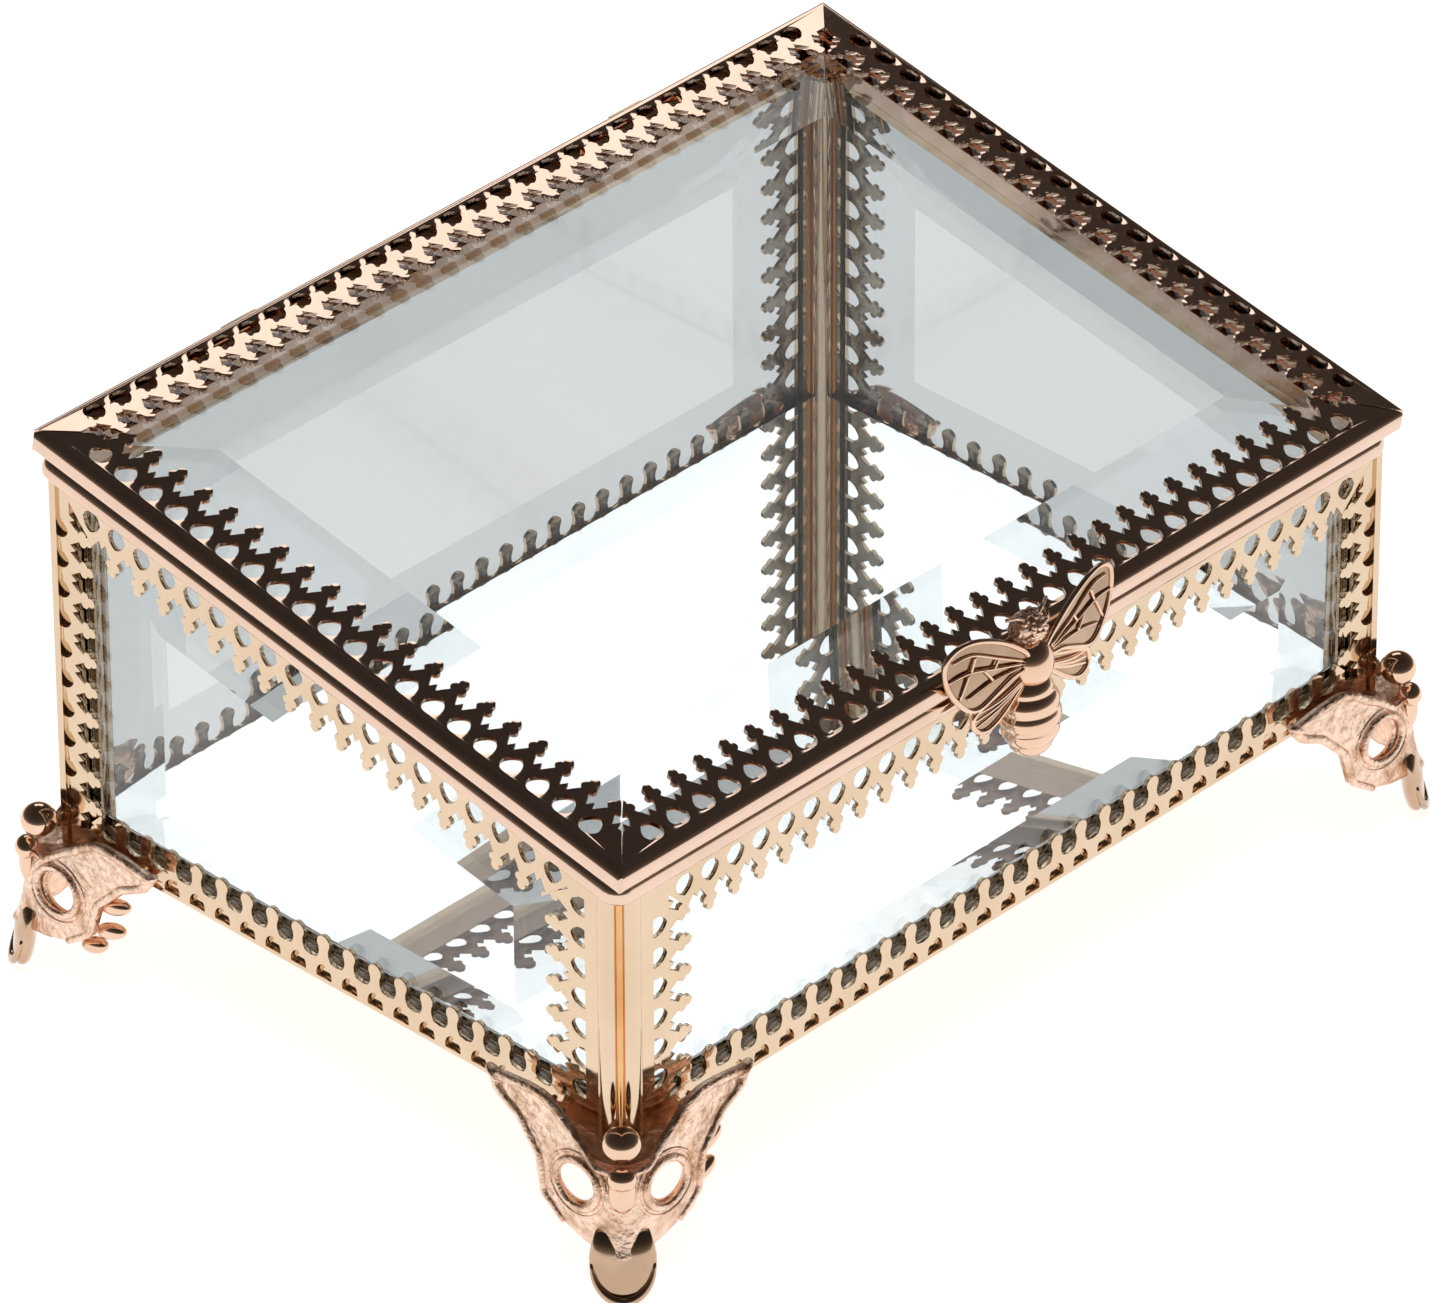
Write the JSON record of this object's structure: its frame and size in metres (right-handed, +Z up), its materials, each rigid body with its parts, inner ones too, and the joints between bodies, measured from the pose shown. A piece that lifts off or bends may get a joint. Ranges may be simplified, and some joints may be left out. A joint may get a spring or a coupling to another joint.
{
  "type": "vanity trinket box",
  "caption": "Glass trinket box with pierced metal frames, sloping hinged lid with an insect-shaped lift, mirror floor and cast splayed feet.",
  "frame": {"origin": "on the ground under the middle of the box", "axes": "+X along the front from left to right, +Y from the front to the hinges, +Z up"},
  "size_m": [0.1686, 0.1234, 0.087],
  "materials": {
    "rose_gold_frame": "polished rose-gold plate on stamped brass strip",
    "rose_gold_rim": "polished rose-gold plate on the rim bead and the lid rails",
    "rose_gold_cast": "rose-gold plated casting, polished with chased texture",
    "hinge_brass": "plain rose-gold plated hinge",
    "solder_seam": "amber plated solder line in the corner groove",
    "clear_glass": "clear bevelled glass, slightly grey-green",
    "mirror_glass": "silvered mirror",
    "backing_board": "plain backing plate under the mirror"
  },
  "bodies": {
    "box": {"body_rim": "rose_gold_rim", "base_tray": "backing_board", "base_mirror": "mirror_glass", "front_stile_start": "rose_gold_frame", "front_stile_end": "rose_gold_frame", "front_bottom_rail": "rose_gold_frame", "front_top_rail": "rose_gold_frame", "front_glass": "clear_glass", "right_stile_start": "rose_gold_frame", "right_stile_end": "rose_gold_frame", "right_bottom_rail": "rose_gold_frame", "right_top_rail": "rose_gold_frame", "right_glass": "clear_glass", "back_stile_start": "rose_gold_frame", "back_stile_end": "rose_gold_frame", "back_bottom_rail": "rose_gold_frame", "back_top_rail": "rose_gold_frame", "back_glass": "clear_glass", "left_stile_start": "rose_gold_frame", "left_stile_end": "rose_gold_frame", "left_bottom_rail": "rose_gold_frame", "left_top_rail": "rose_gold_frame", "left_glass": "clear_glass", "hinge_body_leaf_left": "hinge_brass", "hinge_pin_left": "hinge_brass", "hinge_body_leaf_right": "hinge_brass", "hinge_pin_right": "hinge_brass", "corner_seam_front_left": "solder_seam", "corner_rod_front_left": "rose_gold_frame", "foot_front_left": "rose_gold_cast", "corner_rod_front_right": "rose_gold_frame", "foot_front_right": "rose_gold_cast", "corner_rod_back_left": "rose_gold_frame", "foot_back_left": "rose_gold_cast", "corner_seam_back_right": "solder_seam", "corner_rod_back_right": "rose_gold_frame", "foot_back_right": "rose_gold_cast"},
    "lid": {"lid_glass": "clear_glass", "bee_lift": "rose_gold_cast", "lid_front_rail": "rose_gold_rim", "lid_right_rail": "rose_gold_rim", "lid_back_rail": "rose_gold_rim", "lid_left_rail": "rose_gold_rim", "hinge_lid_leaf_left": "hinge_brass", "hinge_lid_leaf_right": "hinge_brass"}
  },
  "joints": [
    {"name": "lid_hinge", "type": "hinge", "parent": "box", "child": "lid", "pos_m": [0, 0.0548, 0.0831], "axis": [-1, 0, 0], "range_deg": [0, 106]}
  ]
}
